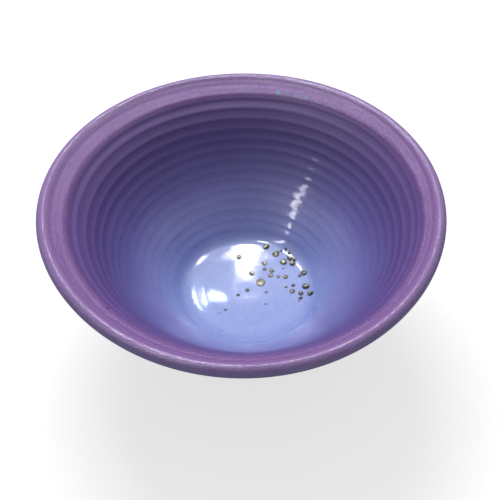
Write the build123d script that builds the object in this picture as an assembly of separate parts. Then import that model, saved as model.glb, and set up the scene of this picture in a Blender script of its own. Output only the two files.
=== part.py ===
from build123d import *
from math import cos, hypot, radians, sin, sqrt
import os

# A hand-thrown stoneware mixing bowl: a bare clay body under thin fired glaze coats, with metal
# flecks set in the glaze of the floor. Millimetres. The origin is the centre of the foot ring's
# resting plane, and +Z points up through the bowl's mouth. Profile points are (radius, height).

# Overall size
RIM_RADIUS = 80.0
HEIGHT = 65.0

# Glaze
GLAZE = 0.6                     # thickness of the liner, rim and outer coats
WELL_GLAZE = 0.4                # thickness of the coat inside the foot ring

# Inside: a shallow dished floor, then a wall with the potter's finger grooves
FLOOR_HEIGHT = 11.2
CENTRE_FLAT = 2.0               # radius of the flat spot where the dish starts
FLOOR_EDGE = (27.6, 14.0)       # where the dished floor turns up into the wall
STEP_EDGE = (RIM_RADIUS - 11.0, HEIGHT - 4.0)   # where the wall meets the sloping rim band
GROOVES = 14
GROOVE_DEPTH = 0.55

# Rim band and rolled lip
LIP_ROLL = 3.0                  # radius of the rolled lip
CREST = (RIM_RADIUS - LIP_ROLL, HEIGHT)
LIP_SIDE = (RIM_RADIUS, HEIGHT - LIP_ROLL)
LIP_UNDERSIDE = (RIM_RADIUS - 5.5, HEIGHT - 7.8)

# Foot ring, trimmed from the same clay
FOOT_OUTER = 34.0
FOOT_INNER = 29.0
WELL_DEPTH = 4.5
WELL_TAPER = 1.0                # how much the well narrows towards its bottom
FOOT_ROUND = 0.8
BARE_EDGE = (FOOT_OUTER + 2.1, 7.0)   # where the outer glaze stops

# Metal flecks: angular chips, each with its place and width (x, y, width) as it fell on the floor
FLECK_SUNK = 0.3
FLECK_PROUD = 0.2
FLECK_TAPER = 20.0
FEWEST_CORNERS = 4
CORNER_REACH = 1.05             # a corner's mean distance from the chip's centre, in half widths
CORNER_SPREAD = 0.2             # and how far corners differ from that
FLECKS = [
    (8.5, 23.5, 2.6), (12.5, 19.5, 2.6), (-3.5, 18.5, 2.1), (15.0, 21.0, 0.9), (17.0, 21.5, 1.1),
    (18.5, 19.5, 1.5), (18.5, 17.0, 2.4), (20.5, 16.0, 1.6), (19.5, 14.0, 2.1), (16.0, 15.0, 2.6),
    (7.5, 15.0, 2.1), (7.5, 12.0, 1.5), (10.5, 11.0, 2.1), (10.0, 8.5, 1.9), (15.5, 11.5, 0.7),
    (13.5, 7.5, 1.5), (16.5, 7.0, 1.9), (2.0, 10.0, 2.1), (24.5, 8.5, 2.6), (22.5, 7.0, 1.1),
    (5.5, 5.0, 3.2), (25.0, 1.0, 2.6), (19.5, 2.0, 1.5), (16.5, 1.5, 1.1), (0.0, 1.0, 1.9),
    (19.0, -1.0, 2.1), (22.5, -2.5, 1.8), (22.3, -5.0, 1.6), (26.5, -3.5, 2.2), (8.0, -0.5, 1.1),
    (-4.0, -1.5, 1.5), (7.5, -7.0, 0.9), (-9.5, -10.0, 1.1), (21.5, -6.5, 0.7), (-12.0, -12.0, 0.7),
]

# The dished floor's profile is an arc from the edge of the flat spot, centred straight above it.
FLOOR_RUN = FLOOR_EDGE[0] - CENTRE_FLAT
FLOOR_RISE = FLOOR_EDGE[1] - FLOOR_HEIGHT
DISH_RADIUS = (FLOOR_RUN ** 2 + FLOOR_RISE ** 2) / (2 * FLOOR_RISE)
DISH_CENTRE = FLOOR_HEIGHT + DISH_RADIUS

# Directions of the profile, from the floor outwards and over the lip, where its stretches meet
AT_FLOOR_EDGE = Vector(DISH_CENTRE - FLOOR_EDGE[1], FLOOR_RUN)
AT_STEP_EDGE = Vector(0.86, 0.5)
AT_LIP_UNDERSIDE = Vector(-0.77, -0.64)
AT_FOOT = Vector(-0.3, -1.0)

SAMPLES = 18                    # points on each smooth stretch


def into_clay(direction):
    """The unit normal that points from the glaze surface into the clay."""
    return Vector(direction.Y, -direction.X).normalized()


def floor_height(radius):
    """Height of the dished floor at a distance from the axis."""
    run = max(radius - CENTRE_FLAT, 0)
    return DISH_CENTRE - sqrt(DISH_RADIUS ** 2 - run ** 2)


def floor(depth):
    """The flat spot and the dished floor around it, sunk by depth below the glaze surface."""
    flat = Line((0, FLOOR_HEIGHT - depth), (CENTRE_FLAT, FLOOR_HEIGHT - depth))
    edge = Vector(*FLOOR_EDGE) + into_clay(AT_FLOOR_EDGE) * depth
    half_way = FLOOR_EDGE[0] / 2
    outwards = Vector(half_way - CENTRE_FLAT, floor_height(half_way) - DISH_CENTRE).normalized()
    between = Vector(half_way, floor_height(half_way)) + outwards * depth
    return [flat, ThreePointArc(flat @ 1, between, edge)]


def stretch(points, start, end, depth):
    """A smooth stretch of the profile, sunk by depth below the glaze surface."""
    surface = Spline(*points, tangents=[start, end])
    sunk = []
    for k in range(SAMPLES + 1):
        along = k / SAMPLES
        sunk.append(surface @ along + into_clay(surface % along) * depth)
    return Spline(*sunk, tangents=[surface % 0, surface % 1])


def wall(depth):
    """The inside wall, from the floor up to the step edge, with one arc for each finger groove."""
    points = [FLOOR_EDGE, (37.8, 24.9), (46.9, 33.9), (55, 44.2), (62, 54), STEP_EDGE]
    ridges = Spline(*points, tangents=[AT_FLOOR_EDGE, AT_STEP_EDGE])
    line = []
    for k in range(2 * GROOVES + 1):
        along = k / (2 * GROOVES)
        groove = GROOVE_DEPTH * (k % 2)
        line.append(ridges @ along + into_clay(ridges % along) * (depth + groove))
    return [ThreePointArc(*line[k:k + 3]) for k in range(0, 2 * GROOVES, 2)]


def rim(depth):
    """The sloping band with its shallow groove, then over the rolled lip to its underside."""
    points = [
        STEP_EDGE,
        (RIM_RADIUS - 8.0, HEIGHT - 2.4),
        (RIM_RADIUS - 5.6, HEIGHT - 1.9),
        CREST,
        (RIM_RADIUS - 0.3 * LIP_ROLL, HEIGHT - 0.3 * LIP_ROLL),
        LIP_SIDE,
        (RIM_RADIUS - 0.3 * LIP_ROLL, HEIGHT - 1.7 * LIP_ROLL),
        LIP_UNDERSIDE,
    ]
    return stretch(points, AT_STEP_EDGE, AT_LIP_UNDERSIDE, depth)


def outside(depth):
    """The outside wall, from under the lip down to where the glaze stops above the foot."""
    points = [LIP_UNDERSIDE, (65, 48.5), (58.6, 40.5), (51.3, 31), (44, 21.5), (38.6, 13.5), BARE_EDGE]
    return stretch(points, AT_LIP_UNDERSIDE, AT_FOOT, depth)


def turned(*edges):
    """The solid made by turning a closed profile about the bowl's axis."""
    return revolve(Plane.XZ * make_face(edges), axis=Axis.Z)


def coat(outer_edges, inner_edges):
    """A glaze coat between its surface and the clay, closed by short square ends."""
    first = Line(outer_edges[0] @ 0, inner_edges[0] @ 0)
    last = Line(outer_edges[-1] @ 1, inner_edges[-1] @ 1)
    return turned(first, *outer_edges, last, *inner_edges)


def clay_body():
    """The thrown and trimmed clay, from the axis over the lip and down to the foot ring."""
    bottom = floor(GLAZE)
    flank = outside(GLAZE)
    foot = Polyline(
        flank @ 1,
        (FOOT_OUTER, 0),
        (FOOT_INNER, 0),
        (FOOT_INNER - WELL_TAPER, WELL_DEPTH),
        (0, WELL_DEPTH),
        bottom[0] @ 0,
    )
    section = make_face([*bottom, *wall(GLAZE), rim(GLAZE), flank, *foot.edges()])
    table_corners = section.vertices().group_by(Axis.Y)[0]
    section = fillet(table_corners, FOOT_ROUND)
    return revolve(Plane.XZ * section, axis=Axis.Z)


def fleck(index, x, y, width):
    """One angular chip, laid on the slope of the dished floor and tapered towards its top."""
    radius = hypot(x, y)
    height = floor_height(radius)
    lean = max(radius - CENTRE_FLAT, 0) / radius
    upright = Vector(-x * lean, -y * lean, DISH_CENTRE - height).normalized()
    corners = FEWEST_CORNERS + index % 3
    outline = []
    for k in range(corners):
        turn = 360 * (k + 0.3 * sin(4.1 * index + 2.3 * k)) / corners
        reach = width / 2 * (CORNER_REACH + CORNER_SPREAD * sin(7.3 * index + 5.1 * k))
        outline.append((reach * cos(radians(turn)), reach * sin(radians(turn))))
    base = Plane(Vector(x, y, height) - upright * FLECK_SUNK, z_dir=upright)
    thickness = FLECK_SUNK + FLECK_PROUD * min(1, width / 2)
    return extrude(base * Polygon(*outline, align=None), amount=thickness, taper=FLECK_TAPER)


def metal_flecks():
    """All the chips, as separate solids."""
    return [fleck(i, *place).solid() for i, place in enumerate(FLECKS)]


def foot_well_glaze():
    """The thin disc of glaze poured inside the foot ring."""
    radius = FOOT_INNER - WELL_TAPER - 0.5
    return turned(
        *Polyline(
            (0, WELL_DEPTH),
            (radius, WELL_DEPTH),
            (radius - WELL_GLAZE, WELL_DEPTH - WELL_GLAZE),
            (0, WELL_DEPTH - WELL_GLAZE),
            close=True,
        ).edges()
    )


flecks = metal_flecks()
parts = {
    "clay_body": clay_body(),
    "liner_glaze": coat(floor(0) + wall(0), floor(GLAZE) + wall(GLAZE)) - flecks,
    "rim_glaze": coat([rim(0)], [rim(GLAZE)]),
    "outer_glaze": coat([outside(0)], [outside(GLAZE)]),
    "foot_well_glaze": foot_well_glaze(),
    "metal_flecks": Compound(flecks),
}

os.makedirs("parts", exist_ok=True)
for name, shape in parts.items():
    export_step(shape, f"parts/{name}.step")
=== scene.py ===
"""A hand-thrown, glazed stoneware bowl for hair colour: its glaze coats, clay, metal flecks and studio."""

import math

import bmesh
import bpy
import numpy as np
from mathutils import Matrix, Vector


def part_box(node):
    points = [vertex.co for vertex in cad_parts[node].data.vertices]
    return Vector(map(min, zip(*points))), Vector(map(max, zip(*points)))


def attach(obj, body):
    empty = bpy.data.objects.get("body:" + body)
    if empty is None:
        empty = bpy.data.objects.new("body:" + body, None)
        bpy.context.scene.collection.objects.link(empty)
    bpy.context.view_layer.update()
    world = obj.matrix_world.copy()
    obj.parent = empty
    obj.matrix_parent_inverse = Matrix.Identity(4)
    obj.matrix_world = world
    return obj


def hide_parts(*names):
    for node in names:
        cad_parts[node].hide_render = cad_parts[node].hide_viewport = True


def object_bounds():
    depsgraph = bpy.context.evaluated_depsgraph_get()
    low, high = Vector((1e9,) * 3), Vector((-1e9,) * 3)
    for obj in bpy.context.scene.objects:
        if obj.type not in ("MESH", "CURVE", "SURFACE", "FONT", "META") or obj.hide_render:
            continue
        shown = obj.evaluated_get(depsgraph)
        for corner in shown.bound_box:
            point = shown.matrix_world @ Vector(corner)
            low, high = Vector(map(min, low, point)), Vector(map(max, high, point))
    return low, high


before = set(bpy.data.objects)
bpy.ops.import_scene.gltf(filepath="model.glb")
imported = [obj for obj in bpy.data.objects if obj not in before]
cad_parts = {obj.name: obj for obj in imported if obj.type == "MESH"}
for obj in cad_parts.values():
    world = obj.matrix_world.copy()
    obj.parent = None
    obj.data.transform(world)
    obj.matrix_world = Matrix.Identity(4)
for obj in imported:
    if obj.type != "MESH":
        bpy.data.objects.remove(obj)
cad_low, cad_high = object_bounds()

MM = 0.001                      # the profile below is in millimetres, the scene in metres
TURN_STEPS = 720                # points around the bowl
TURNS = np.linspace(0, 2 * math.pi, TURN_STEPS, endpoint=False)[:, None]
SHARP_EDGE = math.radians(40)   # faces that meet at more than this keep a crisp edge

# Sizes in millimetres, as in the CAD
RIM_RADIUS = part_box("rim_glaze")[1].x / MM
HEIGHT = cad_high.z / MM
GLAZE = 0.6                     # thickness of a glaze coat
FLOOR_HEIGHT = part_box("liner_glaze")[0].z / MM + GLAZE
BAND_WIDTH = 11.0
STEP_RADIUS = RIM_RADIUS - BAND_WIDTH
STEP_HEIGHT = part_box("liner_glaze")[1].z / MM
LIP_ROLL = 3.0                  # radius of the rounded lip
UNDERSIDE = (RIM_RADIUS - 5.5, HEIGHT - 7.8)
FLOOR_EDGE = 27.6               # radius where the floor turns up into the wall
FOOT_OUTER = 34.0
FOOT_INNER = 29.0
BARE_EDGE = (36.1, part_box("outer_glaze")[0].z / MM)
WELL_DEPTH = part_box("foot_well_glaze")[1].z / MM
WELL_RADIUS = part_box("foot_well_glaze")[1].x / MM
WELL_GLAZE = 0.4

# Finger grooves: one spiral ridge, climbing one pitch a turn
GROOVES = 14
GROOVE_DEPTH = (0.07, 0.21)     # low on the wall and high on it
DEPTH_AROUND = (0.78, 0.27)     # mean share of it around the bowl, and how much more at the back than that
RIDGE_WIDTH = (0.30, 0.17)      # above and below a ridge's crest, in pitches
LINER_DEPTH = 0.95              # from the liner's surface to its underside

CHIP_SPREAD = 1.28              # a chip's outline here against its top in the CAD
CHIP_SHADE_WIDTH = 0.25                # width of the painted shade around a chip, in millimetres
# Rings of a chip from its underside up: (share of its width, height in millimetres, share of its dark edge,
# which is painted shade)
CHIP_RINGS = [(0.96, -0.35, 1.0), (1.0, 0.02, 1.0), (0.86, 0.10, 0.2), (0.45, 0.18, 0.0)]

# Hand-made irregularity of the rim, in millimetres
LIP_SHIFT = (-2.0, 2.4)         # the lip's centre, off the wheel's axis
OVAL = (-0.19, -0.18)           # cosine and sine share of a two-lobed bulge
THREE_LOBES = (-0.61, 0.23)     # and of a three-lobed one

# Profile points (radius, height)
FLOOR_LINE = [(0, FLOOR_HEIGHT), (8, FLOOR_HEIGHT + 0.1), (18, FLOOR_HEIGHT + 1.1), (FLOOR_EDGE, 14)]
WALL_LINE = [(32.4, 18.9), (37.8, 24.9), (46.9, 33.9), (55, 44.2), (62, 54), (STEP_RADIUS, STEP_HEIGHT)]
RIM_LINE = [
    (STEP_RADIUS, STEP_HEIGHT),
    (STEP_RADIUS + 1.0, HEIGHT - 3.05),
    (STEP_RADIUS + 2.6, HEIGHT - 2.45),
    (STEP_RADIUS + 4.4, HEIGHT - 2.05),
    (STEP_RADIUS + 6.0, HEIGHT - 1.25),
    (STEP_RADIUS + 7.2, HEIGHT - 0.4),
    (RIM_RADIUS - LIP_ROLL + 0.2, HEIGHT),
    (RIM_RADIUS - 0.3 * LIP_ROLL, HEIGHT - 0.3 * LIP_ROLL),
    (RIM_RADIUS, HEIGHT - LIP_ROLL),
    (RIM_RADIUS - 0.3 * LIP_ROLL, HEIGHT - 1.7 * LIP_ROLL),
    (RIM_RADIUS - 2.6, HEIGHT - 6.6),
    UNDERSIDE,
]
LIP_TOP = 6                     # the rim line's highest point
OUTER_LINE = [UNDERSIDE, (65, 48.5), (58.6, 40.5), (51.3, 31), (44, 21.5), (38.6, 13.5), BARE_EDGE]


# --- shapes -----------------------------------------------------------------------------------

def ramp(x, low, high):
    """0 below low, 1 above high, and a smooth rise between them."""
    t = np.clip((x - low) / (high - low), 0, 1)
    return t * t * (3 - 2 * t)


def curve(points, spacing):
    """A smooth line through the points, with its own points evenly spaced along it."""
    p = np.array(points, float)
    p = np.vstack([2 * p[0] - p[1], p, 2 * p[-1] - p[-2]])
    knots = np.concatenate([[0], np.cumsum(np.linalg.norm(np.diff(p, axis=0), axis=1) ** 0.5)])
    dense = []
    for i in range(1, len(p) - 2):
        t0, t1, t2, t3 = knots[i - 1:i + 3]
        t = np.linspace(t1, t2, 60, endpoint=False)[:, None]
        a = (t1 - t) / (t1 - t0) * p[i - 1] + (t - t0) / (t1 - t0) * p[i]
        b = (t2 - t) / (t2 - t1) * p[i] + (t - t1) / (t2 - t1) * p[i + 1]
        c = (t3 - t) / (t3 - t2) * p[i + 1] + (t - t2) / (t3 - t2) * p[i + 2]
        d = (t2 - t) / (t2 - t0) * a + (t - t0) / (t2 - t0) * b
        e = (t3 - t) / (t3 - t1) * b + (t - t1) / (t3 - t1) * c
        dense.append((t2 - t) / (t2 - t1) * d + (t - t1) / (t2 - t1) * e)
    dense = np.vstack(dense + [p[-2:-1]])
    along = np.concatenate([[0], np.cumsum(np.linalg.norm(np.diff(dense, axis=0), axis=1))])
    even = np.linspace(0, along[-1], max(int(along[-1] / spacing), 3) + 1)
    return np.stack([np.interp(even, along, dense[:, 0]), np.interp(even, along, dense[:, 1])], 1)


def into_clay(line):
    """Unit normals of a profile line, pointing from the glaze into the clay."""
    tangent = np.gradient(line, axis=0)
    tangent /= np.linalg.norm(tangent, axis=1)[:, None]
    return np.stack([tangent[:, 1], -tangent[:, 0]], 1)


def warp(x, y, radius):
    """Moves points as the potter's hands did: a lip off centre and a rim slightly out of round."""
    turn = np.arctan2(x, y)
    bulge = OVAL[0] * np.cos(2 * turn) + OVAL[1] * np.sin(2 * turn)
    bulge += THREE_LOBES[0] * np.cos(3 * turn) + THREE_LOBES[1] * np.sin(3 * turn)
    bulge *= ramp(radius, 50, 68)
    shift = ramp(radius, 64, 77)
    return (x + bulge * np.sin(turn) + LIP_SHIFT[0] * shift,
            y + bulge * np.cos(turn) + LIP_SHIFT[1] * shift)


def ripples(turn, seed):
    """A slow, seamless unevenness around the bowl, between about -1 and 1."""
    total = np.zeros_like(turn)
    for k in range(1, 7):
        total += np.sin(k * turn + 1.7 * seed * k + seed) / (1 + 0.4 * k)
    return total / 2.2


def spiral_ridges(turn, along):
    """Share of a ridge, 0 to 1, at a turn and at a share of the way up the wall."""
    phase = GROOVES * along + turn / (2 * math.pi) + 0.10 * ripples(turn + 9 * along, 1.3)
    off = phase - np.round(phase)
    width = np.where(off > 0, RIDGE_WIDTH[0], RIDGE_WIDTH[1])
    return np.exp(-(off / width) ** 2)


def solid_of_lines(name, surface, under, values):
    """A closed piece of revolution. surface and under hold radius and height, by turn and by line point."""
    loop = np.concatenate([surface, under[:, ::-1]], 1)
    around = loop.shape[1]
    radius, height = loop[..., 0], loop[..., 1]
    x, y = warp(radius * np.sin(TURNS), radius * np.cos(TURNS), radius)
    co = np.stack([x, y, height], -1).reshape(-1, 3) * MM
    i = np.arange(TURN_STEPS)[:, None]
    j = np.arange(around)[None]
    next_i = (i + 1) % TURN_STEPS
    next_j = (j + 1) % around
    quads = np.stack([i * around + j, i * around + next_j, next_i * around + next_j, next_i * around + j], -1)
    quads = quads.reshape(-1, 4)
    mesh = bpy.data.meshes.new(name)
    mesh.from_pydata(co, [], quads.tolist())
    for label, grid in values.items():
        full = np.concatenate([grid, grid[:, ::-1]], 1).astype(np.float32)
        mesh.attributes.new(label, "FLOAT", "POINT").data.foreach_set("value", full.ravel())
    piece = bpy.data.objects.new(name, mesh)
    bpy.context.scene.collection.objects.link(piece)
    weld_and_smooth(piece)
    return piece


def weld_and_smooth(piece):
    """Joins the points that meet on the axis, turns normals outwards and shades smooth up to sharp edges."""
    bm = bmesh.new()
    bm.from_mesh(piece.data)
    bmesh.ops.remove_doubles(bm, verts=bm.verts, dist=1e-7)
    bmesh.ops.dissolve_degenerate(bm, edges=bm.edges, dist=1e-8)
    bmesh.ops.recalc_face_normals(bm, faces=bm.faces)
    for edge in bm.edges:
        edge.smooth = edge.calc_face_angle(0) < SHARP_EDGE
    bm.to_mesh(piece.data)
    bm.free()
    piece.data.polygons.foreach_set("use_smooth", [True] * len(piece.data.polygons))
    piece.data.update()


def grids(line, depth_grid):
    """A profile line repeated around the bowl and sunk by a depth at each point."""
    return line[None] + into_clay(line)[None] * depth_grid[..., None]


def chip_outlines():
    """Each metal fleck of the CAD as its highest corners, in millimetres, in order around its centre."""
    bm = bmesh.new()
    bm.from_mesh(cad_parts["metal_flecks"].data)
    bmesh.ops.remove_doubles(bm, verts=bm.verts, dist=1e-6)
    left = set(bm.verts)
    outlines = []
    while left:
        island, queue = [], [left.pop()]
        while queue:
            vert = queue.pop()
            island.append(vert.co / MM)
            for edge in vert.link_edges:
                other = edge.other_vert(vert)
                if other in left:
                    left.remove(other)
                    queue.append(other)
        centre = sum(island, Vector()) / len(island)
        top = [co - centre for co in island if co.z > centre.z]
        top.sort(key=lambda co: math.atan2(co.y, co.x))
        outlines.append((centre, top))
    bm.free()
    outlines.sort(key=lambda chip: (round(chip[0].x, 2), round(chip[0].y, 2)))
    return outlines


def chip_distance(x, y, chips):
    """How far points lie outside the nearest chip, in widths of the painted shade around it."""
    nearest = np.full(x.shape, np.inf)
    for centre, top in chips:
        reach = CHIP_SPREAD * sum(math.hypot(co.x, co.y) for co in top) / len(top)
        nearest = np.minimum(nearest, (np.hypot(x - centre.x, y - centre.y) - reach) / CHIP_SHADE_WIDTH)
    return nearest


def make_flecks(chips):
    """Crumpled metal chips: a ragged outline under the glaze and a faceted, domed top above it."""
    bm = bmesh.new()
    rim_layer = bm.verts.layers.float.new("rim")
    draw = np.random.default_rng(7)
    for centre, top in chips:
        corners = []
        for here, after in zip(top, top[1:] + top[:1]):
            corners.append(here * CHIP_SPREAD * draw.uniform(0.9, 1.12))
            if draw.uniform() < 0.2:
                between = here.lerp(after, draw.uniform(0.3, 0.7))
                corners.append(between * CHIP_SPREAD * draw.uniform(0.8, 1.0))
        rings = []
        for scale, rise, rim_share in CHIP_RINGS:
            ring = []
            slide = Vector((draw.uniform(-0.2, 0.2), draw.uniform(-0.2, 0.2), 0)) * (1 - scale)
            for co in corners:
                lift = rise + (draw.uniform(-0.1, 0.1) if rise > 0.1 else 0)
                flat = centre + slide + Vector((co.x * scale, co.y * scale, co.z + lift))
                vert = bm.verts.new(flat * MM)
                vert[rim_layer] = rim_share
                ring.append(vert)
            rings.append(ring)
        count = len(corners)
        for low, high in zip(rings, rings[1:]):
            for k in range(count):
                bm.faces.new((low[k], low[(k + 1) % count], high[(k + 1) % count], high[k]))
        bm.faces.new(rings[-1])
        bm.faces.new(reversed(rings[0]))
    bmesh.ops.triangulate(bm, faces=bm.faces)
    bmesh.ops.recalc_face_normals(bm, faces=bm.faces)
    mesh = bpy.data.meshes.new("metal_flecks_skin")
    bm.to_mesh(mesh)
    bm.free()
    tones = draw.uniform(size=len(mesh.polygons)).astype(np.float32)
    mesh.attributes.new("facet", "FLOAT", "FACE").data.foreach_set("value", tones)
    piece = bpy.data.objects.new("metal_flecks_skin", mesh)
    bpy.context.scene.collection.objects.link(piece)
    return piece


def make_liner(chips):
    """The inside glaze, from the middle of the floor to the step, with the finger's climbing spiral."""
    line = curve(FLOOR_LINE + WALL_LINE, 0.3)
    line[0, 0] = 0
    length = np.concatenate([[0], np.cumsum(np.linalg.norm(np.diff(line, axis=0), axis=1))])
    start = length[np.argmin(abs(line[:, 0] - FLOOR_EDGE))]
    along = np.clip((length - start) / (length[-1] - start), 0, 1)[None]
    turn = np.broadcast_to(TURNS, (TURN_STEPS, len(line)))
    ridge = spiral_ridges(turn, along)
    reach = GROOVE_DEPTH[0] + (GROOVE_DEPTH[1] - GROOVE_DEPTH[0]) * ramp(along, 0.4, 0.95)
    reach = reach * (1 + 0.3 * ripples(turn - 5 * along, 2.7))
    reach = reach * (DEPTH_AROUND[0] + DEPTH_AROUND[1] * np.cos(turn))
    calm_top = 1 - ramp(along, 0.97, 1)
    reach = reach * ramp(along, 0.02, 0.12) * calm_top
    dents = 0.012 * ripples(turn + 0.09 * length[None], 0.4) * np.sin(0.23 * length[None] + 2 * turn)
    dents = dents * ramp(length[None], 2, 8) * calm_top
    depth = (1 - ridge) * reach + dents
    surface = grids(line, depth)
    thicker = (LINER_DEPTH - GLAZE) * ramp(along, 0, 0.1) * (1 - ramp(along, 0.93, 1))
    under = grids(line, np.full_like(depth, GLAZE) + thicker)
    under[:, 0, 0] = 0
    up = np.broadcast_to((length / length[-1])[None], depth.shape)
    radius = line[None, :, 0]
    near = chip_distance(radius * np.sin(turn), radius * np.cos(turn), chips)
    # chip holds the strength of the painted shade in the glaze around the metal chips
    values = {"up": up, "ridge": ridge * ramp(along, 0, 0.1), "chip": 0.85 * (1 - ramp(near, 0.0, 1.0))}
    return solid_of_lines("liner_glaze_skin", surface, under, values)


def make_rim():
    """The glaze on the band, over the lip and just under it, with faint throwing marks on the band."""
    line = curve(RIM_LINE, 0.35)
    turn = np.broadcast_to(TURNS, (TURN_STEPS, len(line)))
    radius = line[None, :, 0]
    marks = 0.06 * np.sin(radius * 2.6 + 2 * turn + 0.8 * ripples(turn, 2.1))
    marks = marks * ramp(radius, STEP_RADIUS, STEP_RADIUS + 2) * (1 - ramp(radius, 74, 77))
    ends = np.minimum(np.arange(len(line)), np.arange(len(line))[::-1])[None] / 4
    uneven = 0.10 * ripples(turn, 0.7) * np.clip(ends, 0, 1)
    surface = grids(line, marks + uneven)
    under = grids(line, np.full(marks.shape, GLAZE))
    share = np.linspace(0, 1, len(line))[None]
    lip = np.exp(-((radius - (RIM_RADIUS - LIP_ROLL)) / 2.0) ** 2) * (line[None, :, 1] > HEIGHT - 2)
    shape = (TURN_STEPS, len(line))
    values = {"up": np.broadcast_to(share, shape), "edge": np.broadcast_to(lip, shape)}
    return solid_of_lines("rim_glaze_skin", surface, under, values)


def make_outer():
    """The outside glaze, with soft throwing marks and a thick bead where it ends above the foot."""
    line = curve(OUTER_LINE, 0.6)
    turn = np.broadcast_to(TURNS, (TURN_STEPS, len(line)))
    share = np.linspace(0, 1, len(line))[None]
    wave = np.cos(2 * math.pi * (11 * share - turn / (2 * math.pi)))
    marks = 0.09 * wave * ramp(share, 0.02, 0.2) * (1 - ramp(share, 0.85, 0.97))
    bead = -0.25 * np.exp(-((share - 0.975) / 0.014) ** 2)
    surface = grids(line, marks + bead)
    under = grids(line, np.full(marks.shape, GLAZE))
    values = {"up": np.broadcast_to(share, marks.shape), "edge": 0.15 * (1 - wave)}
    return solid_of_lines("outer_glaze_skin", surface, under, values)


def make_clay():
    """The fired clay under every glaze coat, with its bare foot ring and the hollow inside the ring."""
    inside = curve(FLOOR_LINE + WALL_LINE, 0.9)
    over = curve(RIM_LINE, 0.7)
    flank = curve(OUTER_LINE, 0.9)
    top = np.vstack([inside[:-1], over[:-1], flank])
    inner = ramp(np.arange(len(top)), len(inside) * 0.4, len(inside) * 0.5)
    inner = inner * (1 - ramp(np.arange(len(top)), len(inside) * 0.9, len(inside) * 0.98))
    top = top + into_clay(top) * (GLAZE + 0.02 + (LINER_DEPTH - GLAZE) * inner[:, None])
    top[0, 0] = 0
    edge = top[-1]
    foot = curve([edge, (FOOT_OUTER + 0.9, 3), (FOOT_OUTER + 0.1, 0.9), (FOOT_OUTER - 0.9, 0.0)], 0.3)
    rest = curve([(FOOT_OUTER - 0.9, 0.0), (FOOT_INNER + 1.0, 0.0)], 0.5)
    back = [(FOOT_INNER + 1.0, 0.0), (FOOT_INNER + 0.1, 0.8), (FOOT_INNER - 0.5, WELL_DEPTH - 0.9)]
    well = curve(back + [(FOOT_INNER - 1.6, WELL_DEPTH), (20, WELL_DEPTH), (0, WELL_DEPTH)], 0.3)
    bottom = np.vstack([foot[1:-1], rest[:-1], well])
    bottom[-1, 0] = 0
    turn = np.broadcast_to(TURNS, (TURN_STEPS, len(bottom)))
    radius, height = bottom[None, :, 0], bottom[None, :, 1]
    trimming = 0.05 * np.sin(9 * height + turn + ripples(turn, 1.1)) * ramp(height, 0.8, 2.0)
    trimming = trimming * ramp(radius, FOOT_INNER + 2, FOOT_OUTER - 1)
    lower = grids(bottom, trimming)
    upper = np.broadcast_to(top[None], (TURN_STEPS,) + top.shape)
    surface = np.concatenate([upper, lower], 1)
    return solid_of_lines("clay_skin", surface, surface[:, :0], {})


def make_well():
    """The glaze inside the foot ring, with the last turns of the trimming tool."""
    level = WELL_DEPTH - WELL_GLAZE
    line = curve([(0, level), (20, level), (WELL_RADIUS - 0.6, level), (WELL_RADIUS, WELL_DEPTH)], 0.6)
    line[0, 0] = 0
    turn = np.broadcast_to(TURNS, (TURN_STEPS, len(line)))
    spiral = 0.07 * np.sin(2 * math.pi * line[None, :, 0] / 5 + turn) * ramp(line[None, :, 0], 1, 5)
    spiral = spiral * (1 - ramp(line[None, :, 0], WELL_RADIUS - 3, WELL_RADIUS - 1))
    surface = np.stack([np.broadcast_to(line[None, :, 0], turn.shape), line[None, :, 1] + spiral], -1)
    under = np.stack([surface[..., 0], np.full(turn.shape, WELL_DEPTH + 0.01)], -1)
    values = {"up": np.ones(turn.shape), "edge": np.zeros(turn.shape)}
    return solid_of_lines("foot_well_glaze_skin", surface, under, values)


# --- materials --------------------------------------------------------------------------------

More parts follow.
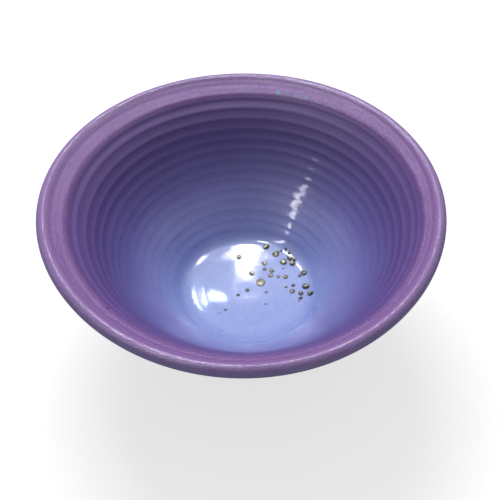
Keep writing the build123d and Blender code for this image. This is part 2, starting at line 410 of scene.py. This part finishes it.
class Nodes:
    """Short ways to add linked nodes to one material. An input named i6 is the node's input number 6."""

    def __init__(self, name):
        self.material = bpy.data.materials.new(name)
        self.material.use_nodes = True
        self.tree = self.material.node_tree
        self.tree.nodes.clear()
        self.shader = self.add("ShaderNodeBsdfPrincipled")
        output = self.add("ShaderNodeOutputMaterial")
        self.tree.links.new(self.shader.outputs[0], output.inputs["Surface"])

    def add(self, kind, settings=None, **inputs):
        made = self.tree.nodes.new(kind)
        for key, value in (settings or {}).items():
            setattr(made, key, value)
        for key, value in inputs.items():
            by_number = key[0] == "i" and key[1:].isdigit()
            self.put(made.inputs[int(key[1:]) if by_number else key], value)
        return made

    def put(self, socket, value):
        if isinstance(value, bpy.types.NodeSocket):
            self.tree.links.new(value, socket)
        else:
            socket.default_value = value

    def attribute(self, name):
        return self.add("ShaderNodeAttribute", {"attribute_name": name}).outputs["Fac"]

    def place(self):
        return self.add("ShaderNodeTexCoord").outputs["Object"]

    def noise(self, scale, detail=2.0, rough=0.5, vector=None):
        made = self.add("ShaderNodeTexNoise", Scale=scale, Detail=detail, Roughness=rough,
                        Vector=vector or self.place())
        return made.outputs["Fac"]

    def math(self, kind, a, b=0.0, clamp=False):
        return self.add("ShaderNodeMath", {"operation": kind, "use_clamp": clamp}, i0=a, i1=b).outputs[0]

    def between(self, value, low, high, to_low=0.0, to_high=1.0):
        made = self.add("ShaderNodeMapRange", {"interpolation_type": "SMOOTHSTEP"},
                        i0=value, i1=low, i2=high, i3=to_low, i4=to_high)
        return made.outputs[0]

    def stops(self, value, stops):
        made = self.add("ShaderNodeValToRGB", Fac=value)
        made.color_ramp.interpolation = "B_SPLINE"
        parts = made.color_ramp.elements
        for position, colour in stops[2:]:
            parts.new(position)
        for part, (position, colour) in zip(parts, sorted(stops, key=lambda s: s[0])):
            part.position = position
            part.color = srgb(colour)
        return made.outputs["Color"]

    def mix(self, share, a, b, kind="MIX"):
        made = self.add("ShaderNodeMix", {"data_type": "RGBA", "blend_type": kind, "clamp_factor": True},
                        i0=share, i6=a if not isinstance(a, tuple) else srgb(a),
                        i7=b if not isinstance(b, tuple) else srgb(b))
        return made.outputs[2]

    def spot(self, place, radius, share):
        """A mask, share strong, around a place and ragged at its edge. Both in millimetres."""
        nearby = self.add("ShaderNodeVectorMath", {"operation": "DISTANCE"}, i0=self.place(),
                          i1=tuple(value * MM for value in place)).outputs["Value"]
        ragged = self.math("ADD", nearby, self.math("MULTIPLY", self.noise(900, 3, 0.7), radius * MM))
        return self.between(ragged, radius * MM * 1.6, radius * MM * 0.8, 0.0, share)

    def bump(self, height, distance, strength=1.0, under=None):
        made = self.add("ShaderNodeBump", Height=height, Distance=distance, Strength=strength)
        if under is not None:
            self.put(made.inputs["Normal"], under)
        return made.outputs["Normal"]

    def finish(self, **inputs):
        for key, value in inputs.items():
            self.put(self.shader.inputs[key.replace("_", " ")], value)
        return self.material


def srgb(colour):
    """A 0-255 screen colour as the linear colour that a node wants."""
    out = []
    for value in colour:
        value = value / 255
        out.append(value / 12.92 if value <= 0.04045 else ((value + 0.055) / 1.055) ** 2.4)
    return (*out, 1.0)


def liner_material():
    """The inside glaze: periwinkle and glossy on the floor, indigo and satin higher up."""
    n = Nodes("liner_glaze")
    up = n.attribute("up")
    ridge = n.attribute("ridge")
    clouds = n.math("MULTIPLY", n.math("SUBTRACT", n.noise(30, 3, 0.6), 0.5), 0.16)
    colour = n.stops(n.math("ADD", up, clouds), [
        (0.0, (150, 166, 221)), (0.25, (138, 156, 215)), (0.36, (139, 152, 215)), (0.46, (132, 137, 196)),
        (0.55, (120, 119, 184)), (0.65, (105, 98, 165)), (0.75, (95, 85, 151)), (0.85, (91, 73, 140)),
        (0.93, (90, 68, 134)), (1.0, (106, 80, 146))])
    # High on the wall, hollows darker and ridges lighter: partly the glaze breaking over the ridges, partly
    # painted shade in the hollows and painted highlight on the ridges.
    high = n.between(up, 0.55, 0.9)
    colour = n.mix(n.math("MULTIPLY", n.between(ridge, 0.5, 0.0, 0.0, 0.2), high), colour, (52, 38, 88))
    colour = n.mix(n.math("MULTIPLY", n.between(ridge, 0.4, 1.0, 0.0, 0.22), high), colour, (128, 100, 164))
    grain = n.between(n.noise(1900, 2, 0.7), 0.3, 0.7, 0.88, 1.12)
    grey = n.add("ShaderNodeCombineColor", i0=grain, i1=grain, i2=grain).outputs[0]
    colour = n.mix(1.0, colour, grey, "MULTIPLY")
    specks = n.between(n.noise(820, 1, 0.4), 0.775, 0.80)
    colour = n.mix(n.math("MULTIPLY", specks, 0.6), colour, (44, 38, 66))
    # Painted shade in the glaze around each metal chip.
    colour = n.mix(n.attribute("chip"), colour, (36, 32, 42))
    rough = n.math("ADD", n.between(up, 0.3, 0.95, 0.3, 0.5), n.math("MULTIPLY", n.noise(160, 3), 0.08))
    waves = n.bump(n.noise(70, 2, 0.5), 0.0003, 0.3)
    peel = n.bump(n.noise(1000, 3, 0.65), 0.00005, 0.45, waves)
    grit = n.bump(n.noise(2600, 2, 0.7), 0.00005, n.between(up, 0.3, 0.95, 0.25, 0.9), peel)
    return n.finish(Base_Color=colour, Roughness=rough, Normal=grit, IOR=1.5,
                    Coat_Weight=n.between(up, 0.85, 0.4, 0.0, 1.0), Coat_Roughness=0.03, Coat_Normal=peel)


# Colours of the rim and of the outside, each at its share of the way along the piece's profile
# On the rim, the light stops over the lip's outer side are partly painted light that makes up for the dim
# front light, and the dark last stop at the underside is painted shade.
VIOLET = [
    (0.0, (104, 74, 132)), (0.12, (122, 86, 149)), (0.35, (122, 86, 149)), (0.5, (138, 104, 170)),
    (0.6, (160, 148, 206)), (0.7, (188, 180, 234)), (0.84, (150, 144, 196)), (1.0, (78, 74, 104)),
]
SLATE = [
    (0.0, (66, 62, 88)), (0.12, (86, 80, 116)), (0.3, (92, 84, 124)), (0.7, (84, 76, 122)),
    (0.95, (74, 64, 108)), (1.0, (58, 48, 82)),
]

# Kiln marks on the rim: (turn in degrees, 0 at the back, radius, size, colour, strength)
TEAL = (86, 132, 162)
IRON = (44, 32, 54)
SPOTS = [
    (13, 71, 1.4, TEAL, 0.9),
    (16, 71, 1.2, TEAL, 0.7),
    (19, 70.5, 1.3, TEAL, 0.7),
    (23, 70.5, 1.1, TEAL, 0.6),
    (22, 78.5, 1.8, TEAL, 0.8),
    (-103, 69, 0.6, IRON, 0.9),
    (-134, 70.5, 0.8, IRON, 0.9),
    (149, 69.5, 0.6, IRON, 0.9),
]


def on_rim(turn, radius):
    """The place on the rim's upper side at a turn and a radius, in millimetres."""
    rising = RIM_LINE[:LIP_TOP + 1]
    height = np.interp(radius, [point[0] for point in rising], [point[1] for point in rising])
    x, y = warp(radius * math.sin(math.radians(turn)), radius * math.cos(math.radians(turn)), radius)
    return x, y, height


def rim_material(name, colours):
    """The satin glaze of the rim and the outside: mottled, gritty, lighter where it breaks over an edge, and
    on the lip's crest also lighter by painted highlight.
    """
    n = Nodes(name)
    up = n.attribute("up")
    edge = n.attribute("edge")
    streaks = n.math("MULTIPLY", n.math("SUBTRACT", n.noise(120, 4, 0.65), 0.5), 0.10)
    colour = n.stops(n.math("ADD", up, streaks), colours)
    colour = n.mix(n.between(n.noise(1500, 3, 0.75), 0.45, 0.7, 0.0, 0.34), colour, (172, 140, 204))
    mottled = n.between(n.noise(1900, 2, 0.6), 0.5, 0.7, 0.0, 0.55)
    mottled = n.math("MULTIPLY", mottled, n.between(up, 0.5, 0.65, 1.0, 0.4))
    colour = n.mix(mottled, colour, (70, 48, 98))
    # Lighter where edge is high: the glaze breaking over throwing marks and the lip, and on the lip's crest
    # also painted highlight.
    colour = n.mix(n.math("MULTIPLY", edge, 0.25), colour, (184, 154, 206))
    for turn, radius, size, tint, share in SPOTS:
        colour = n.mix(n.spot(on_rim(turn, radius), size, share), colour, tint)
    rough = n.between(n.noise(1300, 2, 0.6), 0.3, 0.7, 0.3, 0.48)
    lumps = n.bump(n.noise(300, 3, 0.6), 0.00012, 0.5)
    grit = n.bump(n.noise(1700, 2, 0.65), 0.00018, 0.9, lumps)
    return n.finish(Base_Color=colour, Roughness=rough, Normal=grit, IOR=1.5, Specular_IOR_Level=0.35,
                    Coat_Weight=n.between(edge, 0.2, 0.9, 0.12, 1.0), Coat_Roughness=0.09, Coat_Normal=grit)


def clay_material():
    """Bare fired clay, matt, sandy and a little speckled."""
    n = Nodes("bare_clay")
    tone = n.mix(n.noise(90, 4, 0.6), (176, 152, 126), (150, 122, 98))
    tone = n.mix(n.between(n.noise(1300, 2, 0.5), 0.62, 0.72), tone, (96, 74, 60))
    grit = n.bump(n.noise(1600, 3, 0.7), 0.0003, 0.8)
    return n.finish(Base_Color=tone, Roughness=0.86, Normal=grit)


def fleck_material():
    """Dull grey-gold metal with facets of random tone, and painted shade towards its edges, where it sinks
    into the glaze.
    """
    n = Nodes("metal_flecks")
    facet = n.math("ADD", n.attribute("facet"), n.math("SUBTRACT", n.noise(600, 3, 0.6), 0.5))
    tone = n.mix(n.between(facet, 0.3, 0.8), (66, 61, 47), (178, 173, 150))
    # Painted shade along the chip's lower rings, where it sinks into the glaze.
    tone = n.mix(n.between(n.attribute("rim"), 0.4, 0.95, 0.0, 0.85), tone, (38, 33, 26))
    rough = n.between(n.noise(1400, 2), 0.3, 0.7, 0.3, 0.5)
    grit = n.bump(n.noise(1200, 3, 0.7), 0.0002, 0.5)
    return n.finish(Base_Color=tone, Metallic=0.6, Roughness=rough, Normal=grit)


FLOOR_GLOW = 0.72               # the floor's own light, which only the camera sees


def studio_floor_material():
    """A pale matt floor, darker to every other ray than to the camera, so that it doesn't flood the bowl."""
    n = Nodes("studio_floor")
    tone = n.mix(n.noise(6, 2), (252, 252, 252), (248, 248, 249))
    seen = n.add("ShaderNodeLightPath").outputs["Is Camera Ray"]
    glow = n.math("MULTIPLY", seen, FLOOR_GLOW)
    paint = n.mix(seen, (110, 110, 116), (176, 176, 178))
    return n.finish(Base_Color=paint, Emission_Color=tone, Emission_Strength=glow,
                    Roughness=0.9, Specular_IOR_Level=0.0)


# --- studio -----------------------------------------------------------------------------------

CAMERA_DISTANCE = 412.7         # from the centre of the lip, in millimetres
CAMERA_ELEVATION = math.radians(46.7)
CAMERA_YAW = 0.00719            # yaw, pitch and roll in radians
CAMERA_PITCH = -0.04178
CAMERA_ROLL = -0.01438
CAMERA_LENS = 75.6
SKY = 0.35                      # strength of the light that comes from all round
PANEL_STRENGTH = 34
WHITE = (1, 1, 1)
ICE = (0.85, 0.95, 1)

# Lamps that show only as glints: (name, elevation, azimuth, distance, width and height, watts, colour)
GLINT_LAMPS = [
    ("oval_lamp", 49, 10, 1.0, (0.05, 0.04), 0.3, (0.8, 0.93, 1)),
    ("right_lamp", 62, 42, 1.0, (0.22, 0.08), 1.6, WHITE),
    ("left_lamp", 66, -46, 1.0, (0.18, 0.07), 1.5, WHITE),
    ("far_left_lamp", 57, -32, 1.0, (0.08, 0.06), 0.9, WHITE),
    ("top_lamp", 80, -90, 1.0, (0.12, 0.10), 1.6, ICE),
    ("front_left_lamp", 46, -123, 1.1, (0.07, 0.5), 1.9, WHITE),
]


def add_camera():
    """Looks into the bowl from the front and above, aimed a little below the rim's centre."""
    rim_centre = Vector((LIP_SHIFT[0], LIP_SHIFT[1], HEIGHT - LIP_ROLL))
    back = Vector((0, -math.cos(CAMERA_ELEVATION), math.sin(CAMERA_ELEVATION)))
    right = Vector((1, 0, 0))
    up = right.cross(-back)
    ahead = -back * math.cos(CAMERA_PITCH) + up * math.sin(CAMERA_PITCH)
    up = back * math.sin(CAMERA_PITCH) + up * math.cos(CAMERA_PITCH)
    side = right * math.cos(CAMERA_YAW) - ahead * math.sin(CAMERA_YAW)
    ahead = ahead * math.cos(CAMERA_YAW) + right * math.sin(CAMERA_YAW)
    right = side * math.cos(CAMERA_ROLL) + up * math.sin(CAMERA_ROLL)
    up = up * math.cos(CAMERA_ROLL) - side * math.sin(CAMERA_ROLL)
    data = bpy.data.cameras.new("camera")
    data.lens = CAMERA_LENS
    data.clip_start = 0.01
    camera = bpy.data.objects.new("camera", data)
    camera.matrix_world = Matrix.Translation((rim_centre + back * CAMERA_DISTANCE) * MM) @ Matrix(
        (right, up, -ahead)).transposed().to_4x4()
    bpy.context.scene.collection.objects.link(camera)
    bpy.context.scene.camera = camera


def towards(elevation, azimuth, distance):
    """A place in metres, seen from the bowl. Azimuth 0 is straight behind it and 90 is on the right."""
    e, a = math.radians(elevation), math.radians(azimuth)
    return Vector((math.cos(e) * math.sin(a), math.cos(e) * math.cos(a), math.sin(e))) * distance


def add_light(name, place, size, watts, colour, shape, shows_in):
    """A studio light that faces the bowl. It is seen only in the kinds of reflection that shows_in names."""
    data = bpy.data.lights.new(name, "AREA")
    data.shape = shape
    data.size, data.size_y = size
    data.energy = watts
    data.color = colour
    light = bpy.data.objects.new(name, data)
    light.location = place
    light.rotation_euler = (Vector((0, 0, 0.03)) - place).to_track_quat("-Z", "Y").to_euler()
    light.visible_diffuse = "diffuse" in shows_in
    light.visible_glossy = "glossy" in shows_in
    bpy.context.scene.collection.objects.link(light)


def add_skylight_panel():
    """A bright panel, wide at its top and narrow at its foot, that shows only in glossy reflections."""
    sideways = Vector((1, 0, 0))
    top = towards(72, 1, 1.0) + sideways * 0.03
    low = towards(53, 1, 1.0) + sideways * 0.03
    waist = top.lerp(low, 0.35)
    corners = [top - sideways * 0.08, top + sideways * 0.03, waist + sideways * 0.005,
               low - sideways * 0.026, low - sideways * 0.034, waist - sideways * 0.075]
    mesh = bpy.data.meshes.new("skylight_panel")
    mesh.from_pydata(corners, [], [tuple(range(len(corners)))])
    panel = bpy.data.objects.new("skylight_panel", mesh)
    bpy.context.scene.collection.objects.link(panel)
    glow = bpy.data.materials.new("skylight_panel")
    glow.use_nodes = True
    glow.node_tree.nodes.clear()
    emission = glow.node_tree.nodes.new("ShaderNodeEmission")
    emission.inputs["Strength"].default_value = PANEL_STRENGTH
    output = glow.node_tree.nodes.new("ShaderNodeOutputMaterial")
    glow.node_tree.links.new(emission.outputs[0], output.inputs["Surface"])
    mesh.materials.append(glow)
    panel.visible_camera = False
    panel.visible_diffuse = False
    panel.visible_shadow = False


def add_world():
    """Pure white behind the bowl, and a dimmer, slightly cool sky all round it."""
    world = bpy.data.worlds.new("soft_white")
    world.use_nodes = True
    tree = world.node_tree
    background = tree.nodes["Background"]
    background.inputs["Color"].default_value = (1.0, 1.0, 1.0, 1)
    is_camera = tree.nodes.new("ShaderNodeLightPath").outputs["Is Camera Ray"]
    strength = tree.nodes.new("ShaderNodeMapRange")
    tree.links.new(is_camera, strength.inputs["Value"])
    strength.inputs["To Min"].default_value = SKY
    strength.inputs["To Max"].default_value = 1.0
    tree.links.new(strength.outputs[0], background.inputs["Strength"])
    bpy.context.scene.world = world


def add_studio():
    """A pale floor, the sky, one soft key light behind the bowl and the lamps for the glaze's glints."""
    bpy.ops.mesh.primitive_grid_add(x_subdivisions=8, y_subdivisions=8, size=6)
    ground = bpy.context.object
    ground.name = "studio_floor"
    ground.data.materials.append(studio_floor_material())
    add_world()
    add_light("key", towards(50, -12, 1.6), (1.0, 0.7), 24, WHITE, "RECTANGLE", ("diffuse",))
    add_skylight_panel()
    for name, elevation, azimuth, distance, size, watts, colour in GLINT_LAMPS:
        shape = "ELLIPSE" if name == "oval_lamp" else "RECTANGLE"
        add_light(name, towards(elevation, azimuth, distance), size, watts, colour, shape, ("glossy",))


# --- the bowl ---------------------------------------------------------------------------------

chips = chip_outlines()
pieces = [
    (make_liner(chips), "liner_glaze", "liner_glaze", liner_material()),
    (make_flecks(chips), "metal_flecks", "metal_flecks", fleck_material()),
    (make_rim(), "rim_glaze", "rim_glaze", rim_material("rim_glaze", VIOLET)),
    (make_outer(), "outer_glaze", "outer_glaze", rim_material("outer_glaze", SLATE)),
    (make_clay(), "clay_body", "clay", clay_material()),
    (make_well(), "foot_well_glaze", "outer_glaze", rim_material("foot_well_glaze", SLATE)),
]
for piece, node_name, slot_name, material in pieces:
    piece.data.materials.append(material)
    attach(piece, "root")
    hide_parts(node_name)

add_studio()
add_camera()
bpy.context.scene.view_settings.view_transform = "Standard"
